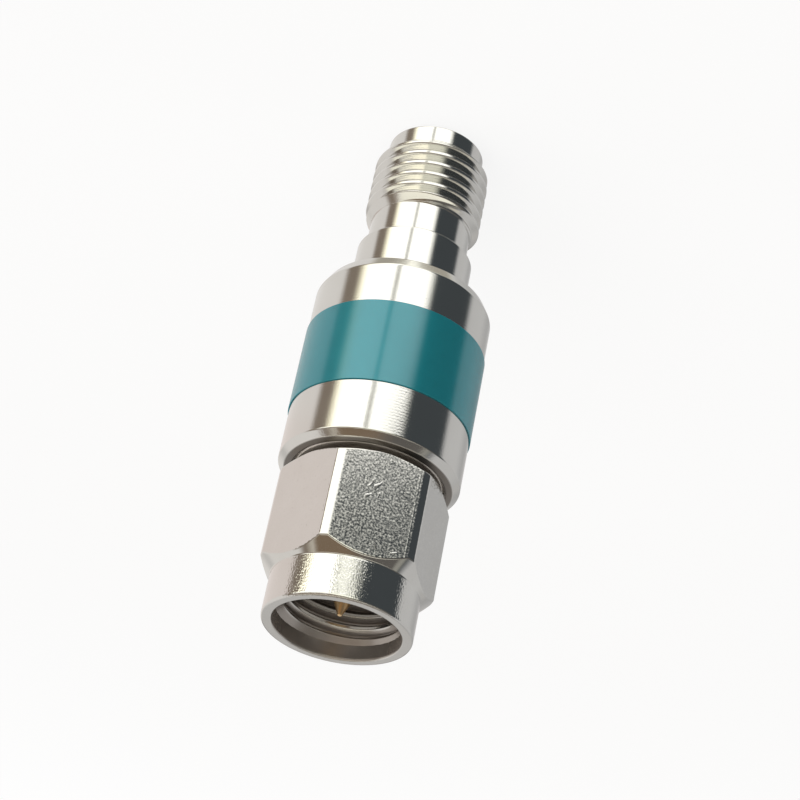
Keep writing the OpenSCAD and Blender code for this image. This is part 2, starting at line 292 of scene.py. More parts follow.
# %% [markdown]
# Two panels make the softbox, with a seam between them. The left one has a warm edge, is cream where the
# thread mirrors it, and turns softer above that. The right one is short: it fades out upwards, which is why
# the bright band is narrower on the nut's skirt than on the barrel, and the dim front takes its place.

# %% Hang the two panels
PANEL, PANEL_EDGE, BELOW_PANEL = (1.9, 1.9, 1.84), (1.9, 1.82, 1.4), (2.6, 2.58, 2.34)
CREAM_PANEL, SOFT_PANEL, SEAM = (2.75, 2.70, 2.25), (1.22, 1.21, 1.16), (0.72, 0.72, 0.66)
PANEL_FOOT, WARM_EDGE = (-75.0, -60.0), (-66.0, -52.0)
CREAM_TOP, CREAM_SLOPE, SLOPE_TURN, CREAM_BLUR = -15.6, 0.12, -50.0, 1.0
LEFT_START, LEFT_WIDER, LEFT_END = (-73.0, -58.0), (6.0, 10.0), (-20.0, -17.5)
RIGHT_START, RIGHT_LIFTS = (-15.5, -13.0), ((-70.0, -60.0), (-31.5, -21.5))
SEAM_TURNS, SEAM_TOP = ((-20.0, -18.0), (-15.0, -13.0)), (-28.0, -24.0)

panel = graph.mix(lift.step(*PANEL_FOOT), BELOW_PANEL, PANEL)
panel = graph.mix(turn.step(*WARM_EDGE), PANEL_EDGE, panel)
panel = graph.mix(at_thread, panel, CREAM_PANEL)
cream_top = CREAM_TOP - CREAM_SLOPE * turn.maths("MINIMUM", turn - SLOPE_TURN, 0.0)
panel = graph.mix(lift.step(cream_top - CREAM_BLUR, cream_top + CREAM_BLUR), panel, SOFT_PANEL)
left_start = [edge - wider * at_thread for edge, wider in zip(LEFT_START, LEFT_WIDER)]
walls = graph.mix(between(turn, left_start, LEFT_END), walls, panel)
right_panel = turn.step(*RIGHT_START) * (1 - past_panels) * between(lift, *RIGHT_LIFTS)
walls = graph.mix(right_panel, walls, PANEL)
walls = graph.mix(between(turn, *SEAM_TURNS) * (1 - lift.step(*SEAM_TOP)), walls, SEAM)
print("nodes in the tent:", len(tent.node_tree.nodes))

# %% [markdown]
# Round the camera the room is dark and brownish, and it shows in the chamfers. Above it runs a pale strip
# of ceiling, with a curved upper edge. The back wall is grey, with a shade right behind the part, and the
# roof is dim. A narrow arc of skylight in the roof lights the upper flanks of the thread.

# %% Paint the room, the back and the roof
ROOM_LEFT, ROOM_RIGHT, CEILING = (0.26, 0.19, 0.13), (0.15, 0.14, 0.13), (1.35, 1.32, 1.15)
BACK_WALL, BACK_SHADE = (0.64, 0.63, 0.62), (0.30, 0.285, 0.275)
ROOF, SKYLIGHT = (0.30, 0.265, 0.24), (1.35, 1.32, 1.12)
ROOM_TURNS, ROOM_FADE = ((-84.0, -66.0), (76.0, 90.0)), (-20.0, 40.0)
ROOM_LIFTS, CEILING_LOW = ((8.0, 14.0), (40.0, 45.0)), (41.0, 46.0)
CEILING_TOP, CEILING_CURVE, CEILING_BLUR = 56.3, 0.0022, 1.5
BACK_FRONT, BACK_LOW = (-0.8, -0.62), (0.0, 15.0)
SHADE_FRONT, SHADE_LIFTS = (-0.97, -0.93), ((-24.0, -20.0), (6.0, 16.0))
ROOF_EDGE, ROOF_DIP = (64.0, 80.0), 20.0
ARC_BEND, ARC_BAND, ARC_LOW = 0.9, ((0.05, 0.085), (0.16, 0.22)), (48.0, 54.0)
ARC_FADE, ARC_FADE_SIDE = 0.6, (-0.05, 0.1)

in_room = between(turn, *ROOM_TURNS)
ceiling_top = CEILING_TOP - CEILING_CURVE * turn * turn
over_ceiling = in_room * lift.step(ceiling_top - CEILING_BLUR, ceiling_top + CEILING_BLUR)
room = graph.mix(turn.step(*ROOM_FADE), ROOM_LEFT, ROOM_RIGHT)
walls = graph.mix(in_room * between(lift, *ROOM_LIFTS) + over_ceiling, walls, room)
walls = graph.mix(in_room * lift.step(*CEILING_LOW) * (1 - over_ceiling), walls, CEILING)
walls = graph.mix((1 - front.step(*BACK_FRONT)) * lift.step(*BACK_LOW), walls, BACK_WALL)
right_behind = (1 - front.step(*SHADE_FRONT)) * between(lift, *SHADE_LIFTS)
walls = graph.mix(right_behind, walls, BACK_SHADE)
walls = graph.mix(lift.step(*(edge - ROOF_DIP * behind for edge in ROOF_EDGE)), walls, ROOF)
arc = front + ARC_BEND * side * side
in_arc = between(arc, *ARC_BAND) * lift.step(*ARC_LOW)
walls = graph.mix(in_arc * (1 - ARC_FADE * side.step(*ARC_FADE_SIDE)), walls, SKYLIGHT)

seen_by_camera = graph.node("ShaderNodeLightPath", output="Is Camera Ray")
glow = graph.node("ShaderNodeBackground", None, {"Color": graph.mix(seen_by_camera, walls, WHITE)})
graph.node("ShaderNodeOutputWorld", None, {"Surface": glow})
print("nodes in the tent:", len(tent.node_tree.nodes))

# %% [markdown]
# One lamp above fills the paper up to white. It is large, so the shadow stays soft, and mirror rays don't
# see it.

# %% Hang the lamp
LAMP_SIZE, LAMP_POWER = 0.30, 0.55
LAMP_PLACE = Vector((0.10, -0.12, 0.32))
lamp_data = bpy.data.lights.new("overhead_lamp", "AREA")
lamp_data.shape, lamp_data.size, lamp_data.energy = "DISK", LAMP_SIZE, LAMP_POWER
lamp = bpy.data.objects.new("overhead_lamp", lamp_data)
lamp.location = LAMP_PLACE
lamp.rotation_euler = (-LAMP_PLACE).to_track_quat("-Z", "Y").to_euler()
lamp.visible_glossy = False
scene.collection.objects.link(lamp)
print("lamp distance in mm:", round(LAMP_PLACE.length / MM))

# %% [markdown]
# ## Turned skins
#
# A lathe makes every metal piece here, and Blender's Screw modifier could spin a profile too. Writing the
# rows of points with numpy gives more: each corner of the half section gets its own small rounding, as
# plating leaves it, and a thread can be set into the same closed skin. Bright metal shows every fault in
# its normals, so a large face counts more than a narrow rounding when the normals of a corner are averaged.

# %% Round a half section and spin it
LONGEST_CUT = 0.45


def rounded(corners, cuts, steps=6):
    """Rounds the corners of a closed half section, given as radius and height, by cutting so far back."""
    corners, rows = np.asarray(corners, float), []
    for i, cut in enumerate(cuts):
        here = corners[i]
        before, after = corners[i - 1] - here, corners[(i + 1) % len(corners)] - here
        if not cut:
            rows.append(here)
            continue
        back, on = (np.linalg.norm(way, axis=-1, keepdims=True) for way in (before, after))
        reach = np.minimum(cut, LONGEST_CUT * np.minimum(back, on))
        for u in np.linspace(0, 1, steps):
            rows.append(here + (1 - u) ** 2 * reach * before / back + u ** 2 * reach * after / on)
    return np.array(rows)


def split_section(section):
    """The corners and the cuts of a half section that is listed as radius, height and cut."""
    section = np.array(section, float)
    return section[:, :2], section[:, 2]


def spun(section, angles):
    """Rows of points round the axis, from one half section or from one for each angle."""
    section = section if section.ndim == 3 else np.repeat(section[:, None], len(angles), 1)
    radius, height = section[..., 0], section[..., 1]
    return np.stack([radius * np.cos(angles), radius * np.sin(angles), height], -1)


def full_turn(columns):
    """Angles of so many columns round the axis."""
    return np.linspace(0, 2 * np.pi, columns, endpoint=False)


square = [(1, 0, 0), (2, 0, 0), (2, 1, 0.1), (1, 1, 0)]
print("a square with one round corner has", len(rounded(*split_section(square))), "points")

# %% Close rows of points into a mesh
MERGE = 1e-7


def smooth_by_area(mesh):
    """Sets each point's normal to the mean of its faces, weighted by their areas."""
    polygons, loops = len(mesh.polygons), len(mesh.loops)
    normals, areas, totals = np.empty(polygons * 3), np.empty(polygons), np.empty(polygons, int)
    corners = np.empty(loops, int)
    mesh.polygons.foreach_get("normal", normals)
    mesh.polygons.foreach_get("area", areas)
    mesh.polygons.foreach_get("loop_total", totals)
    mesh.loops.foreach_get("vertex_index", corners)
    weighted = normals.reshape(-1, 3) * areas[:, None]
    sums = np.zeros((len(mesh.vertices), 3))
    np.add.at(sums, corners, np.repeat(weighted, totals, 0))
    mesh.shade_smooth()
    mesh.normals_split_custom_set_from_vertices(sums / np.linalg.norm(sums, axis=1, keepdims=True))


def skin(name, rows, next_row=None, split=False):
    """An object from rows of points round the axis; a split one is open between last and first column."""
    count, around = rows.shape[:2]
    index = np.arange(count * around).reshape(count, around)
    next_row = np.arange(count) if next_row is None else next_row
    beside = np.concatenate([index[:, 1:], index[next_row, :1]], 1)
    quads = np.stack([index, beside, np.roll(beside, -1, 0), np.roll(index, -1, 0)], -1)
    faces = (quads[:, :-1] if split else quads).reshape(-1, 4).tolist()
    if split:
        faces += [index[:, 0].tolist(), index[:, -1].tolist()]
    mesh = bpy.data.meshes.new(name)
    mesh.from_pydata((rows.reshape(-1, 3) * MM).tolist(), [], faces)
    shape = bmesh.new()
    shape.from_mesh(mesh)
    bmesh.ops.remove_doubles(shape, verts=shape.verts, dist=MERGE)
    bmesh.ops.recalc_face_normals(shape, faces=shape.faces)
    shape.to_mesh(mesh)
    shape.free()
    smooth_by_area(mesh)
    piece = bpy.data.objects.new(name, mesh)
    scene.collection.objects.link(piece)
    return piece


print("points closer than", MERGE / MM, "mm are merged")

# %% [markdown]
# ## Threads
#
# A stack of rings would look like a thread from afar, but a real one climbs by one pitch each turn. If the
# rows of points climb with it, the crest is one clean line of edges. A row that has run past the end of the
# thread is held at that end, where its points merge, so the skin stays closed. The ridge has broad crests,
# straight flanks and narrow roots, with soft corners, as a plated thread has.

# %% Rows that climb
PITCH = 25.4 / 36
ROWS_PER_TURN = 40
CREST_SHARE, FLANK_SHARE, RIDGE_SOFTNESS, RUN_OUT_SOFTNESS = 0.22, 0.31, 0.06, 0.05


def soft_min(a, b, width):
    """The lower of two heights, with the corner between them rounded."""
    near = np.maximum(width - np.abs(a - b), 0) / width
    return np.minimum(a, b) - near ** 2 * width / 4


def ridge(turns):
    """Height of a thread over its turns, 0 at the root and 1 on the crest."""
    from_crest = np.abs((turns + 0.5) % 1 - 0.5)
    slope = (CREST_SHARE / 2 + FLANK_SHARE - from_crest) / FLANK_SHARE
    return -soft_min(-soft_min(slope, 1.0, RIDGE_SOFTNESS), 0.0, RIDGE_SOFTNESS)


def climbing_rows(low, high, end_radii, angles, radius_at):
    """Points of a right-hand thread between two heights, and the row that each meets after one turn."""
    last = math.ceil((high - low) / PITCH * ROWS_PER_TURN)
    turns = np.arange(-ROWS_PER_TURN, last + 1) / ROWS_PER_TURN
    height = np.clip(low + PITCH * (turns[:, None] + angles / (2 * np.pi)), low, high)
    radius = radius_at(height, turns[:, None])
    radius = np.where(height <= low, end_radii[0], np.where(height >= high, end_radii[1], radius))
    meets = np.minimum(np.arange(len(turns)) + ROWS_PER_TURN, len(turns) - 1)
    return spun(np.stack([radius, height], -1), angles), meets


print("pitch in mm:", round(PITCH, 4))

# %% [markdown]
# ## Metal finishes
#
# Nickel plate over turned brass is a warm, light grey mirror. The lathe leaves fine rings at an even feed,
# the plating adds a soft orange peel, and both only tilt the mirror by a degree or two: enough to fray the
# edges of the bands. So the finish is mostly bump, with a height in micrometres, and the base colour hardly
# changes.

# %% Place on the piece, and bump
MICROMETRE = 1e-6


def begin(name):
    """A new material's graph, with the place on the piece in millimetres."""
    material = bpy.data.materials.new(name)
    graph = Graph(material)
    place = graph.node("ShaderNodeTexCoord", output="Object")
    place = graph.node("ShaderNodeVectorMath", {"operation": "SCALE"}, {0: place, "Scale": 1 / MM})
    return material, graph, place


def noise(graph, place, size, detail=2.0):
    """Cloudy values from 0 to 1 with spots of about that size in millimetres."""
    return graph.node("ShaderNodeTexNoise", None, {"Vector": place, "Scale": 1 / size, "Detail": detail})


def cylinder_place(graph, place):
    """Radius, angle and height of a place, round the part's axis."""
    x, y, z = (graph.node("ShaderNodeSeparateXYZ", None, {0: place})[axis] for axis in "XYZ")
    return (x * x + y * y).maths("SQRT", x * x + y * y), y.maths("ARCTAN2", y, x), z


def bumped(graph, height, micrometres, normal=None):
    """The normal of a surface that rises by so many micrometres where the height goes from 0 to 1."""
    inputs = {"Height": height, "Strength": 1.0, "Distance": micrometres * MICROMETRE}
    return graph.node("ShaderNodeBump", None, inputs | ({"Normal": normal} if normal else {}))


def close(graph, **sockets):
    """Ends a material in a Principled surface; the sockets are named with _ for a space."""
    inputs = {name.replace("_", " "): value for name, value in sockets.items()}
    surface = graph.node("ShaderNodeBsdfPrincipled", None, inputs)
    graph.node("ShaderNodeOutputMaterial", None, {"Surface": surface})


print("a height of 1 counts as", MICROMETRE / MM, "mm for each micrometre given")

# %% [markdown]
# Beside the nut the barrel's rings are shallower and its plating is coarser, and its narrow end face is
# dull and grey. All of that is a matter of height along the axis.

# %% Nickel plate
FEED, FEED_WANDER, LINES_RADIUS_SHARE = 0.17, 2.2, 0.7
PEEL_SIZE, CLOUD_SIZE = 0.11, 1.6
BY_NUT, LOWER_LINES, COARSER_PEEL = (17.0, 19.0), 0.6, 0.8
END_FACE, END_GREY, END_ROUGH = (21.39, 21.43), (0.22, 0.20, 0.18), 0.2
NICKEL_DARK, NICKEL_LIGHT = (0.615, 0.60, 0.57), (0.665, 0.655, 0.63)
SHELL_DARK, SHELL_LIGHT = (0.62, 0.57, 0.52), (0.70, 0.65, 0.60)


def turned_lines(graph, place, feed):
    """Height of the lathe's rings, from 0 to 1: an even feed with a slow wander."""
    radius, angle, height = cylinder_place(graph, place)
    path = height + LINES_RADIUS_SHARE * radius
    wander = graph.node("ShaderNodeTexNoise", {"noise_dimensions": "1D"},
                        {"W": path, "Scale": FEED_WANDER / feed, "Detail": 2.0})
    return 0.25 * (path * (2 * math.pi / feed)).sine() + 0.25 + 0.5 * wander


def nickel(name, dark, light, line_height, peel_height, dull=0.0, metallic=1.0, end_dull=1.0):
    """Nickel on turned brass, with the heights of its rings and of its peel in micrometres."""
    material, graph, place = begin(name)
    along_axis = cylinder_place(graph, place)[2]
    lines = turned_lines(graph, place, FEED)
    peel = noise(graph, place, PEEL_SIZE, 1.0)
    cloud = noise(graph, place, CLOUD_SIZE, 4.0)
    by_nut, at_end = along_axis.step(*BY_NUT), end_dull * along_axis.step(*END_FACE)
    rough = 0.07 + dull + 0.05 * lines + 0.05 * cloud + END_ROUGH * at_end
    ring_height = (1 - LOWER_LINES * by_nut) * lines * line_height
    height = ring_height + (1 + COARSER_PEEL * by_nut) * peel * peel_height
    tone = graph.mix(at_end, graph.mix(cloud, dark, light), END_GREY)
    close(graph, Base_Color=tone, Metallic=metallic, Roughness=rough, Normal=bumped(graph, height, 1.0))
    return material


barrel_nickel = nickel("barrel_nickel", NICKEL_DARK, NICKEL_LIGHT, 1.6, 1.0)
shell_nickel = nickel("shell_nickel", SHELL_DARK, SHELL_LIGHT, 0.8, 1.8,
                      dull=0.12, metallic=0.5, end_dull=0.0)
print("nickel nodes:", len(barrel_nickel.node_tree.nodes))

# %% [markdown]
# ## Housing
#
# Jack nose, relief, collar and barrel are one turned piece. Its half section starts behind the thread, goes
# round the outside, down the bored inside and up the plain lead-in, and the climbing rows close the loop.
# Each corner is listed as its radius, its height and how far its rounding cuts back, all in millimetres.

# %% Turn the housing
THREAD_R, THREAD_ROOT_R, LEAD_R, RELIEF_R = 3.175, 2.80, 2.65, 2.75
COLLAR_R, SHOULDER_R, BARREL_R, END_R = 3.15, 4.4, 4.75, 4.40
JACK_MOUTH_R, LINE_R, SEAT_R, BUSH_R, SHELL_SEAT_R = 2.32, 2.075, 2.46, 3.6, 3.96
THREAD_LOW, THREAD_HIGH, COLLAR_LOW, COLLAR_HIGH = 1.0, 5.45, 7.3, 10.4
BARREL_LOW, BARREL_HIGH, END_LOW, END_HIGH = 11.05, 21.1, 21.41, 21.5
MOUTH_END, JACK_SEAT_LOW, JACK_SEAT_HIGH, PLUG_SEAT_LOW = 1.95, 9.6, 11.6, 18.6
BEVEL = 0.1
HOUSING_COLUMNS = 192
HOUSING = [
    (RELIEF_R, THREAD_HIGH, 0), (RELIEF_R, COLLAR_LOW, 0.04), (COLLAR_R - BEVEL, COLLAR_LOW, 0.04),
    (COLLAR_R, COLLAR_LOW + BEVEL, 0.05), (COLLAR_R, COLLAR_HIGH, 0.05), (SHOULDER_R, COLLAR_HIGH, 0.06),
    (BARREL_R, BARREL_LOW, 0.06), (BARREL_R, BARREL_HIGH, 0.05), (END_R, END_LOW, 0.05),
    (SHELL_SEAT_R + BEVEL, END_HIGH, 0.03), (SHELL_SEAT_R, END_HIGH - BEVEL, 0.04),
    (SHELL_SEAT_R, PLUG_SEAT_LOW, 0.04), (BUSH_R, PLUG_SEAT_LOW, 0.04), (BUSH_R, JACK_SEAT_HIGH, 0.04),
    (SEAT_R, JACK_SEAT_HIGH, 0.04), (SEAT_R, JACK_SEAT_LOW, 0.04), (LINE_R, JACK_SEAT_LOW, 0.04),
    (LINE_R, MOUTH_END, 0.03), (JACK_MOUTH_R, MOUTH_END, 0.03), (JACK_MOUTH_R, BEVEL, 0.04),
    (JACK_MOUTH_R + BEVEL, 0, 0.03), (LEAD_R - BEVEL, 0, 0.03), (LEAD_R, BEVEL, 0.04),
    (LEAD_R, THREAD_LOW, 0)]


def jack_radius(height, turns):
    """Radius of the jack's thread, which runs out at both ends."""
    ridges = THREAD_ROOT_R + (THREAD_R - THREAD_ROOT_R) * ridge(turns)
    ends = np.minimum(LEAD_R + (height - THREAD_LOW), RELIEF_R + (THREAD_HIGH - height))
    return soft_min(ridges, ends, RUN_OUT_SOFTNESS)


def dress(piece, body, node, material):
    """Gives a piece its finish and its body, and hides the imported solid that it stands for."""
    piece.data.materials.append(material)
    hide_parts(node)
    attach(piece, body)
    print(piece.name, "has", sum(len(face.vertices) - 2 for face in piece.data.polygons), "triangles")


angles = full_turn(HOUSING_COLUMNS)
plain_rows = spun(rounded(*split_section(HOUSING)), angles)
thread_rows, meets = climbing_rows(THREAD_LOW, THREAD_HIGH, (LEAD_R, RELIEF_R), angles, jack_radius)
housing_rows = np.concatenate([plain_rows, thread_rows])
housing_next = np.concatenate([np.arange(len(plain_rows)), meets + len(plain_rows)])
housing = skin("housing_turned", housing_rows, housing_next)
dress(housing, "attenuator", "housing", barrel_nickel)

# %% [markdown]
# ## Coloured film
#
# The barrel carries a glossy film, wrapped once round and butted at the back. It is thin and lets a little
# of the bright metal through, with a clear layer on top. So the colour is part metal, for the tinted mirror
# below, and a coat on the Principled shader gives the untinted gloss above.

# %% Wrap the film
FILM_IN, FILM_OUT, FILM_LOW, FILM_HIGH, FILM_SEAM = 4.76, 4.82, 13.38, 18.24, 0.2
FILM_COLUMNS, FILM_STEPS = 193, 4
FILM = [(FILM_IN, FILM_LOW, 0.005), (FILM_OUT, FILM_LOW, 0.02), (FILM_OUT, FILM_HIGH, 0.02),
        (FILM_IN, FILM_HIGH, 0.005)]
TEAL_DARK, TEAL_LIGHT, TEAL_SPECK = (0.008, 0.224, 0.278), (0.011, 0.260, 0.318), (0.03, 0.32, 0.39)
MOTTLE_SIZE, SPECK_SIZE, RIPPLE_SIZE = 0.9, 0.06, 2.4


def open_turn(gap, columns):
    """Angles round the axis that leave a gap open at the back."""
    return np.linspace(math.pi / 2 + gap / 2, math.pi * 5 / 2 - gap / 2, columns)


film_rows = spun(rounded(*split_section(FILM), FILM_STEPS), open_turn(FILM_SEAM / FILM_OUT, FILM_COLUMNS))
film = skin("label_film", film_rows, split=True)

label_film, graph, place = begin("label_film")
mottle = noise(graph, place, MOTTLE_SIZE, 4.0)
speck = noise(graph, place, SPECK_SIZE, 2.0)
ripple = noise(graph, place, RIPPLE_SIZE, 1.0)
tint = graph.mix(mottle, TEAL_DARK, TEAL_LIGHT)
tint = graph.mix(0.12 * speck, tint, TEAL_SPECK)
close(graph, Base_Color=tint, Metallic=0.32, Roughness=0.26 + 0.1 * speck, Specular_IOR_Level=0.0,
      Coat_Weight=0.6, Coat_Roughness=0.14, Coat_IOR=2.0, Normal=bumped(graph, ripple + 0.1 * speck, 9.0))
dress(film, "attenuator", "label_band", label_film)

# %% [markdown]
# ## Plug shell, gasket and ring
#
# The plug's outer conductor is pressed into the barrel and carries everything at that end: the nut's split
# ring sits in its groove and the rubber gasket on its shoulder. Little of it shows, but the gap behind the
# nut mirrors it.

# %% Turn the shell
FLANGE_R, NECK_R, GROOVE_R, FERRULE_R = 3.95, 2.95, 2.42, 2.29
PLUG_SEAT_HIGH, FLANGE_HIGH, GROOVE_LOW, GROOVE_HIGH = 20.6, 21.42, 22.47, 23.38
NECK_HIGH, FERRULE_HIGH = 24.28, 27.0
SHELL_COLUMNS = 128
SHELL = [
    (SEAT_R, PLUG_SEAT_LOW, 0.03), (FLANGE_R - BEVEL, PLUG_SEAT_LOW, 0.04),
    (FLANGE_R, PLUG_SEAT_LOW + BEVEL, 0.04), (FLANGE_R, FLANGE_HIGH - BEVEL, 0.04),
    (FLANGE_R - BEVEL, FLANGE_HIGH, 0.04), (NECK_R, FLANGE_HIGH, 0.04), (NECK_R, GROOVE_LOW, 0.03),
    (GROOVE_R, GROOVE_LOW, 0.03), (GROOVE_R, GROOVE_HIGH, 0.03), (NECK_R, GROOVE_HIGH, 0.03),
    (NECK_R, NECK_HIGH, 0.03), (FERRULE_R, NECK_HIGH, 0.03), (FERRULE_R, FERRULE_HIGH - BEVEL, 0.04),
    (FERRULE_R - BEVEL, FERRULE_HIGH, 0.03), (LINE_R, FERRULE_HIGH, 0.02), (LINE_R, PLUG_SEAT_HIGH, 0.03),
    (SEAT_R, PLUG_SEAT_HIGH, 0.03)]
shell = skin("shell_turned", spun(rounded(*split_section(SHELL)), full_turn(SHELL_COLUMNS)))
dress(shell, "attenuator", "plug_shell", shell_nickel)

# %% Seat the gasket
GASKET_R, GASKET_HIGH, SMALL_COLUMNS = 2.32, 25.08, 96
GASKET = [(GASKET_R, NECK_HIGH, 0.1), (NECK_R, NECK_HIGH, 0.1), (NECK_R, GASKET_HIGH, 0.16),
          (GASKET_R, GASKET_HIGH, 0.16)]
RUBBER_DARK, RUBBER_LIGHT = (0.018, 0.018, 0.019), (0.045, 0.044, 0.043)

gasket_rubber, graph, place = begin("gasket_rubber")
grit = noise(graph, place, 0.05, 3.0)
close(graph, Base_Color=graph.mix(grit, RUBBER_DARK, RUBBER_LIGHT), Roughness=0.55 + 0.3 * grit,
      Normal=bumped(graph, grit, 6.0))
gasket = skin("gasket_seal", spun(rounded(*split_section(GASKET)), full_turn(SMALL_COLUMNS)))
dress(gasket, "attenuator", "sealing_gasket", gasket_rubber)

# %% Spring the split ring in
RING_IN, RING_OUT, RING_LOW, RING_HIGH, RING_GAP = 2.57, 3.19, 22.5, 23.0, math.radians(24)
RING_ROUND = 0.08
RING = [(radius, height, RING_ROUND) for radius, height in (
    (RING_IN, RING_LOW), (RING_OUT, RING_LOW), (RING_OUT, RING_HIGH), (RING_IN, RING_HIGH))]
BRONZE_DARK, BRONZE_LIGHT = (0.52, 0.34, 0.18), (0.70, 0.48, 0.28)

ring_bronze, graph, place = begin("ring_bronze")
drawn = noise(graph, place, 0.12, 3.0)
close(graph, Base_Color=graph.mix(drawn, BRONZE_DARK, BRONZE_LIGHT), Metallic=1.0,
      Roughness=0.25 + 0.2 * drawn, Normal=bumped(graph, drawn, 3.0))
ring_rows = spun(rounded(*split_section(RING)), open_turn(RING_GAP, SMALL_COLUMNS + 1))
ring = skin("ring_split", ring_rows, split=True)
dress(ring, "spring_ring", "retaining_ring", ring_bronze)

# %% [markdown]
# ## Coupling nut
#
# The nut is turned first and six flats are milled on it afterwards, so its corners stay round and each flat
# ends in a curve where it meets the chamfers. A boolean would cut that, with ragged edges. Instead every
# column of points gets its own half section: the flat, or the round corner, sets its radius, and that
# radius sets where it leaves the chamfers. The edges then run along the mesh and can be rounded like the
# others. The columns are closest where a flat meets a corner.

# %% Build the nut
FLAT_R, CORNER_R, SKIRT_R, MOUTH_R, NUT_THREAD_R, NUT_ROOT_R = 4.0, 4.5, 3.825, 3.25, 2.87, 3.20
NUT_BACK, BACK_FACE_R, BACK_EDGE, SKIRT_Z, NUT_RIM = 21.75, 3.95, 0.4, 27.72, 30.0
NUT_BORE_R, NUT_GROOVE_R, NUT_GROOVE_HIGH = 3.05, 3.34, 23.03
NUT_THREAD_LOW, NUT_THREAD_HIGH = 25.28, 29.15
FLATS, HALF_SIXTH, CORNER_SOFTNESS = 6, 30, 0.02
HALF_FLAT = [0, 3, 6, 9, 12, 15, 18, 21, 23, 25, 26.2, 26.8, 27.27, 27.7, 28.2, 29]

offsets = np.radians([-HALF_SIXTH] + [-x for x in HALF_FLAT[:0:-1]] + HALF_FLAT)
flat_middles = np.radians(HALF_SIXTH + 2 * HALF_SIXTH * np.arange(FLATS))
nut_angles = (flat_middles[:, None] + offsets).ravel()
wall = np.tile(soft_min(FLAT_R / np.cos(offsets), CORNER_R, CORNER_SOFTNESS), FLATS)
front_z = SKIRT_Z - (wall - SKIRT_R)
back_z = NUT_BACK + (wall - BACK_FACE_R) / (CORNER_R - BACK_FACE_R) * BACK_EDGE
NUT = [
    (MOUTH_R, NUT_THREAD_HIGH, 0), (MOUTH_R, NUT_RIM, 0.16), (SKIRT_R, NUT_RIM, 0.18),
    (SKIRT_R, SKIRT_Z, 0.05), (wall, front_z, 0.07), (wall, back_z, 0.07), (BACK_FACE_R, NUT_BACK, 0.05),
    (NUT_BORE_R + BEVEL, NUT_BACK, 0.04), (NUT_BORE_R, NUT_BACK + BEVEL, 0.04),
    (NUT_BORE_R, GROOVE_LOW, 0.03), (NUT_GROOVE_R, GROOVE_LOW, 0.03), (NUT_GROOVE_R, NUT_GROOVE_HIGH, 0.03),
    (NUT_BORE_R, NUT_GROOVE_HIGH, 0.03), (NUT_BORE_R, NECK_HIGH, 0.03), (MOUTH_R, NECK_HIGH, 0.03),
    (MOUTH_R, NUT_THREAD_LOW, 0)]


def nut_radius(height, turns):
    """Radius of the nut's thread, which runs out at both ends."""
    grooves = NUT_ROOT_R - (NUT_ROOT_R - NUT_THREAD_R) * ridge(turns)
    ends = np.maximum(MOUTH_R - (height - NUT_THREAD_LOW), MOUTH_R - (NUT_THREAD_HIGH - height))
    return -soft_min(-grooves, -ends, RUN_OUT_SOFTNESS)


columns = len(nut_angles)
nut_corners = np.array([np.stack([np.broadcast_to(r, columns), np.broadcast_to(z, columns)], -1)
                        for r, z, cut in NUT])
nut_plain = spun(rounded(nut_corners, [cut for r, z, cut in NUT]), nut_angles)
nut_ends = (MOUTH_R, MOUTH_R)
nut_thread, meets = climbing_rows(NUT_THREAD_LOW, NUT_THREAD_HIGH, nut_ends, nut_angles, nut_radius)
nut_next = np.concatenate([np.arange(len(nut_plain)), meets + len(nut_plain)])
nut = skin("nut_hex", np.concatenate([nut_plain, nut_thread]), nut_next)
print("columns round the nut:", columns)

# %% [markdown]
# The flats are milled and then tumbled before plating. They are found by maths: on a flat, the radius times
# the cosine of the angle from the flat's middle is the same everywhere. Plating builds up into a low lip
# along one long edge of a flat. One flat has a few marks from a spanner, each a short stroke given by its
# place across and along the flat, its direction in degrees, its length and its width.

# %% Find the flats and their marks
FLAT_BLUR = (0.03, 0.005)
LIP_PLACE, LIP_WIDTH, LIP_HEIGHT = 1.87, 0.07, 2.5
STROKES = [(0.45, 23.67, 63, 0.42, 0.09), (0.15, 23.71, 55, 0.42, 0.09), (0.54, 24.37, 38, 0.28, 0.08),
           (-0.02, 24.24, 66, 0.24, 0.08), (-0.33, 26.95, 111, 0.26, 0.09), (-1.25, 27.02, 22, 0.34, 0.09)]
STROKE_WANDER, WANDER_SIZE, STROKE_FADE = 0.2, 0.3, 0.2
MARKED_FLAT = ((-1.95, -1.90), (-1.24, -1.19))

nut_nickel, graph, place = begin("nut_nickel")
radius, angle, height = cylinder_place(graph, place)
half_sixth = math.radians(HALF_SIXTH)
from_middle = angle.maths("WRAP", angle - half_sixth, half_sixth, -half_sixth)
to_flat = radius * from_middle.maths("COSINE", from_middle)
on_flat = to_flat.step(*(FLAT_R - blur for blur in FLAT_BLUR))
across = radius * from_middle.sine()
from_lip = across + LIP_PLACE
lip = 1 - from_lip.maths("ABSOLUTE", from_lip).step(0.0, LIP_WIDTH)

strokes = 0.0
wander = STROKE_WANDER * (noise(graph, place, WANDER_SIZE, 1.0) - 0.5)
for x, z, slant, length, width in STROKES:
    run, climb = math.cos(math.radians(slant)), math.sin(math.radians(slant))
    east, north = across - x + wander, height - z - wander
    on, off = east * run + north * climb, north * run - east * climb
    on, off = on.maths("ABSOLUTE", on), off.maths("ABSOLUTE", off)
    strokes = strokes + (1 - on.step(STROKE_FADE * length, length)) * (1 - off.step(0.0, width))
scored = on_flat * between(angle, *MARKED_FLAT) * strokes
print("marks on one flat:", len(STROKES))
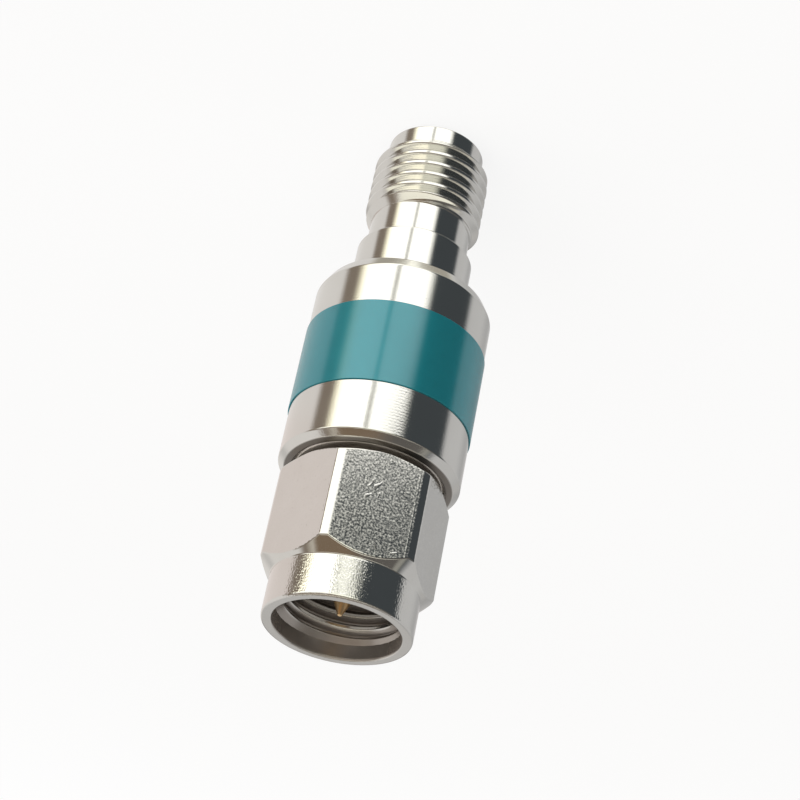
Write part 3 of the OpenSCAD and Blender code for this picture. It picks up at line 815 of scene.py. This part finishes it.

# %% [markdown]
# Tumbling leaves a fine grain on the flats that sparkles: it leans the mirror a little sideways from spot
# to spot, and a slight bump is added to that. A mark is smoother and darker than the grain round it. The
# skirt has a coarse peel. The bore is rougher and painted with shade: a dull, darker brown, darker still
# with depth. The crests of its thread, which the tap has polished, are smoother and keep the bright nickel,
# so they stand out from that painted shade as painted highlights.

# %% Plate the nut
GRAIN_SIZE, GRAIN_HEIGHT, GRAIN_SHAPE = 0.12, 1.0, (1.6, 1.6, 1.0)
LEAN_SIZE, LEAN = 0.105, 0.33
LINE_HEIGHT, SKIRT_PEEL, SKIRT_BLUR = 0.5, 8.0, 0.1
STROKE_HEIGHT, STROKE_SMOOTH, STROKE_DARK, STROKE_CORE = 2.4, 0.8, 0.7, (0.3, 1.0)
# The dull bore colours and the deep brown are painted shade in the bore; the crests are left out of it.
STROKE_GREY, DULL_SHADE_DARK, DULL_SHADE_LIGHT = (0.30, 0.29, 0.27), (0.325, 0.295, 0.27), (0.395, 0.36, 0.33)
BORE_BLUR, CREST_BLUR, CREST_POLISH_AND_LIGHT = (0.02, 0.08), (0.03, 0.12), 0.75
DEEP_SHADE_HEIGHTS, DEEP_SHADE_BROWN = (26.8, 28.7), (0.19, 0.17, 0.155)

in_bore = 1 - radius.step(*(MOUTH_R + blur for blur in BORE_BLUR))
on_crest = in_bore * (1 - radius.step(*(NUT_THREAD_R + blur for blur in CREST_BLUR)))
dull_and_shaded_share = in_bore - CREST_POLISH_AND_LIGHT * on_crest
on_skirt = height.step(SKIRT_Z, SKIRT_Z + SKIRT_BLUR)

lines = turned_lines(graph, place, FEED)
narrow = graph.node("ShaderNodeVectorMath", {"operation": "MULTIPLY"}, {0: place, 1: GRAIN_SHAPE})
grain = noise(graph, narrow, GRAIN_SIZE, 0.5)
turned = (1 - on_flat) * (1 - in_bore) * (LINE_HEIGHT * lines + SKIRT_PEEL * on_skirt * grain)
milled = on_flat * (GRAIN_HEIGHT * grain + LIP_HEIGHT * lip) + STROKE_HEIGHT * scored

outward = graph.node("ShaderNodeNewGeometry", output="Normal")
sideways = graph.node("ShaderNodeVectorMath", {"operation": "CROSS_PRODUCT"}, {0: outward, 1: (0, 0, 1)})
lean = LEAN * on_flat * (1 - STROKE_SMOOTH * scored) * (noise(graph, place, LEAN_SIZE, 1.0) - 0.5)
sideways = graph.node("ShaderNodeVectorMath", {"operation": "SCALE"}, {0: sideways, "Scale": lean})
leaning = graph.node("ShaderNodeVectorMath", {"operation": "ADD"}, {0: outward, 1: sideways})

cloud = noise(graph, place, CLOUD_SIZE, 4.0)
bright = graph.mix(cloud, NICKEL_DARK, NICKEL_LIGHT)
# Painted shade in the bore: a dull darker brown, darker still with depth; the crests keep the bright nickel
# as painted highlights.
dull = graph.mix(cloud, DULL_SHADE_DARK, DULL_SHADE_LIGHT)
bore = graph.mix(height.step(*DEEP_SHADE_HEIGHTS), DEEP_SHADE_BROWN, graph.mix(dull_and_shaded_share, bright, dull))
outside = graph.mix(STROKE_DARK * scored.step(*STROKE_CORE), bright, STROKE_GREY)
close(graph, Base_Color=graph.mix(in_bore, outside, bore), Metallic=1 - 0.3 * dull_and_shaded_share,
      Roughness=0.06 + 0.05 * cloud + 0.14 * dull_and_shaded_share,
      Normal=bumped(graph, turned + milled, 1.0, leaning))
dress(nut, "nut", "coupling_nut", nut_nickel)

# %% [markdown]
# ## Gold contacts
#
# The centre line is a pin at the plug and a slotted socket at the jack, both gold-plated, and each grips
# one end of the chip inside with a fork. They are turned like the rest, and the slots are sawn with a
# boolean, whose flat cheeks need no special edges.

# %% Turn the contacts
CONTACT_R, STOP_R, PIN_R, TIP_R, SOCKET_R = 0.635, 0.85, 0.457, 0.10, 0.47
PIN_LOW, PLUG_STOP_HIGH, CONE_LOW, PIN_HIGH = 16.6, 19.8, 28.40, 29.14
SOCKET_LOW, SOCKET_END, JACK_STOP_LOW, SOCKET_HIGH, FINGER_BEVEL = 2.0, 5.0, 10.4, 13.6, 0.055
CONTACT_COLUMNS = 64
PIN = [
    (0, PIN_LOW, 0), (CONTACT_R, PIN_LOW, 0.05), (CONTACT_R, PLUG_SEAT_LOW, 0.02),
    (STOP_R, PLUG_SEAT_LOW, 0.04), (STOP_R, PLUG_STOP_HIGH, 0.04), (CONTACT_R, PLUG_STOP_HIGH, 0.02),
    (CONTACT_R, FERRULE_HIGH, 0.05), (PIN_R, FERRULE_HIGH, 0.02), (PIN_R, CONE_LOW, 0.06),
    (TIP_R, PIN_HIGH, 0.05), (0, PIN_HIGH, 0)]
SOCKET = [
    (SOCKET_R + FINGER_BEVEL, SOCKET_LOW, 0.02), (CONTACT_R - FINGER_BEVEL, SOCKET_LOW, 0.02),
    (CONTACT_R, SOCKET_LOW + FINGER_BEVEL, 0.03), (CONTACT_R, JACK_STOP_LOW, 0.02),
    (STOP_R, JACK_STOP_LOW, 0.04), (STOP_R, JACK_SEAT_HIGH, 0.04), (CONTACT_R, JACK_SEAT_HIGH, 0.02),
    (CONTACT_R, SOCKET_HIGH, 0.05), (0, SOCKET_HIGH, 0), (0, SOCKET_END, 0), (SOCKET_R, SOCKET_END, 0.03),
    (SOCKET_R, SOCKET_LOW + FINGER_BEVEL, 0.03)]
pin = skin("pin_plug", spun(rounded(*split_section(PIN)), full_turn(CONTACT_COLUMNS)))
socket = skin("contact_socket", spun(rounded(*split_section(SOCKET)), full_turn(CONTACT_COLUMNS)))
print("pin and socket in mm:", round(PIN_HIGH - PIN_LOW, 2), round(SOCKET_HIGH - SOCKET_LOW, 2))

# %% Saw the slots
CHIP_LOW, CHIP_HIGH, FORK_SLOT, FINGER_SLOT, FINGER_END, BLADE = 13.07, 17.13, 0.56, 0.12, 4.6, 2
SMOOTH_BELOW = math.radians(35)


def saw(piece, size, centre, eighths):
    """Cuts a slot of that size in millimetres across a piece, turned by eighths of a full turn."""
    cutter_mesh = bpy.data.meshes.new("saw_blade")
    blade = bmesh.new()
    place = Matrix.Translation(Vector(centre) * MM) @ Matrix.Diagonal((*Vector(size) * MM, 1))
    bmesh.ops.create_cube(blade, size=1, matrix=Matrix.Rotation(eighths * math.pi / 4, 4, "Z") @ place)
    blade.to_mesh(cutter_mesh)
    blade.free()
    cutter = bpy.data.objects.new("saw_blade", cutter_mesh)
    scene.collection.objects.link(cutter)
    cut = piece.modifiers.new("slot", "BOOLEAN")
    cut.operation, cut.solver, cut.object = "DIFFERENCE", "EXACT", cutter
    sawn = bpy.data.meshes.new_from_object(piece.evaluated_get(bpy.context.evaluated_depsgraph_get()))
    piece.modifiers.clear()
    piece.data = sawn
    bpy.data.objects.remove(cutter)


fork = (BLADE, FORK_SLOT, CHIP_HIGH - CHIP_LOW), (0, 0, (CHIP_LOW + CHIP_HIGH) / 2)
fingers = (BLADE, FINGER_SLOT, 2 * FINGER_END), (0, 0, 0)
cuts = ((pin, fork, 0), (socket, fork, 0), (socket, fingers, 1), (socket, fingers, 3))
for contact, slot, eighths in cuts:
    saw(contact, *slot, eighths)
for contact in (pin, socket):
    contact.data.shade_smooth()
    contact.data.set_sharp_from_angle(angle=SMOOTH_BELOW)
print("slots sawn:", len(cuts))

# %% Plate the contacts
GOLD_FEED, WEAR_SIZE = 0.08, 0.25
GOLD_DEEP, GOLD_PALE = (0.80, 0.55, 0.28), (0.93, 0.71, 0.43)
contact_gold, graph, place = begin("contact_gold")
lines = turned_lines(graph, place, GOLD_FEED)
wear = noise(graph, place, WEAR_SIZE, 4.0)
close(graph, Base_Color=graph.mix(wear, GOLD_DEEP, GOLD_PALE), Metallic=1.0,
      Roughness=0.08 + 0.08 * lines, Normal=bumped(graph, lines, 0.5))
dress(pin, "attenuator", "plug_pin", contact_gold)
dress(socket, "attenuator", "socket_contact", contact_gold)

# %% [markdown]
# ## Insulators
#
# White fluoropolymer sleeves hold the contacts in the middle. The plastic is waxy and slightly see-through,
# cut on a lathe, so it has faint rings and no gloss to speak of. A sleeve keeps a hundredth of a millimetre
# clear of the metal on both sides.

# %% Turn the insulators
CLEAR, SLEEVE_FEED = 0.01, 0.11
SLEEVE_STOP, SLEEVE_BORE = STOP_R + CLEAR, CONTACT_R + CLEAR
SLEEVE_SEAT, SLEEVE_R = SEAT_R - CLEAR, LINE_R - CLEAR
PLUG_SLEEVE = [
    (SLEEVE_STOP, PLUG_SEAT_LOW, 0.03), (SLEEVE_SEAT, PLUG_SEAT_LOW, 0.05),
    (SLEEVE_SEAT, PLUG_SEAT_HIGH, 0.05), (SLEEVE_R, PLUG_SEAT_HIGH, 0.03),
    (SLEEVE_R, FERRULE_HIGH, 0.05), (SLEEVE_BORE, FERRULE_HIGH, 0.03),
    (SLEEVE_BORE, PLUG_STOP_HIGH, 0.02), (SLEEVE_STOP, PLUG_STOP_HIGH, 0.02)]
JACK_SLEEVE = [
    (SLEEVE_STOP, JACK_SEAT_HIGH, 0.03), (SLEEVE_STOP, JACK_STOP_LOW, 0.02),
    (SLEEVE_BORE, JACK_STOP_LOW, 0.02), (SLEEVE_BORE, MOUTH_END, 0.03),
    (SLEEVE_R, MOUTH_END, 0.05), (SLEEVE_R, JACK_SEAT_LOW, 0.03),
    (SLEEVE_SEAT, JACK_SEAT_LOW, 0.05), (SLEEVE_SEAT, JACK_SEAT_HIGH, 0.05)]
PLASTIC_GREY, PLASTIC_WHITE = (0.83, 0.83, 0.81), (0.90, 0.90, 0.885)

insulator_white, graph, place = begin("insulator_white")
lines = turned_lines(graph, place, SLEEVE_FEED)
cloud = noise(graph, place, 0.7, 3.0)
close(graph, Base_Color=graph.mix(cloud, PLASTIC_GREY, PLASTIC_WHITE), Roughness=0.42 + 0.12 * lines,
      Normal=bumped(graph, lines + 0.5 * cloud, 3.0))
sleeves = (("insulator_plug", PLUG_SLEEVE, "plug_insulator"),
           ("insulator_jack", JACK_SLEEVE, "socket_insulator"))
for name, section, node in sleeves:
    sleeve = skin(name, spun(rounded(*split_section(section)), full_turn(SMALL_COLUMNS)))
    dress(sleeve, "attenuator", node, insulator_white)

# %% [markdown]
# ## Chip and ground bush
#
# The resistor chip and the two halves of its bush are closed in by the barrel. Their solids are right as
# they are, flat-faced and sharp, so they stay and only get their finishes: fired ceramic, printed film,
# fired silver and thin gold on brass.

# %% Finish the inner solids
CERAMIC_GREY, CERAMIC_WHITE = (0.80, 0.80, 0.77), (0.89, 0.89, 0.87)
RESISTOR_DARK, RESISTOR_GREY = (0.02, 0.02, 0.024), (0.05, 0.05, 0.055)
SILVER_DULL, SILVER_BRIGHT = (0.72, 0.72, 0.70), (0.86, 0.86, 0.84)
BUSH_DARK, BUSH_LIGHT, BUSH_FEED = (0.74, 0.50, 0.22), (0.86, 0.64, 0.34), 0.15


def coat_solids(material, *nodes):
    """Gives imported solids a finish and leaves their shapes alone."""
    for node in nodes:
        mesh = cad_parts[node].data
        mesh.materials.clear()
        mesh.materials.append(material)
    print(material.name, "on", ", ".join(nodes))


def grainy(name, dark, light, size, rough, micrometres, metallic=0.0):
    """A fired or cast surface with a fine grain in its colour, gloss and height."""
    material, graph, place = begin(name)
    grain = noise(graph, place, size, 3.0)
    patch = noise(graph, place, 8 * size, 2.0)
    close(graph, Base_Color=graph.mix(0.6 * grain + 0.4 * patch, dark, light), Metallic=metallic,
          Roughness=rough + 0.15 * grain, Normal=bumped(graph, grain, micrometres))
    return material


coat_solids(grainy("chip_ceramic", CERAMIC_GREY, CERAMIC_WHITE, 0.05, 0.45, 2.0), "chip_substrate")
coat_solids(grainy("chip_film", RESISTOR_DARK, RESISTOR_GREY, 0.04, 0.35, 2.0), "resistor_film")
coat_solids(grainy("chip_silver", SILVER_DULL, SILVER_BRIGHT, 0.04, 0.28, 2.0, 1.0),
            "input_pad", "output_pad", "ground_metal")
bush_gold, graph, place = begin("bush_gold")
lines = turned_lines(graph, place, BUSH_FEED)
cloud = noise(graph, place, 0.8, 3.0)
close(graph, Base_Color=graph.mix(cloud, BUSH_DARK, BUSH_LIGHT), Metallic=1.0,
      Roughness=0.2 + 0.12 * lines, Normal=bumped(graph, lines, 1.5))
coat_solids(bush_gold, "clamp_front", "clamp_back")
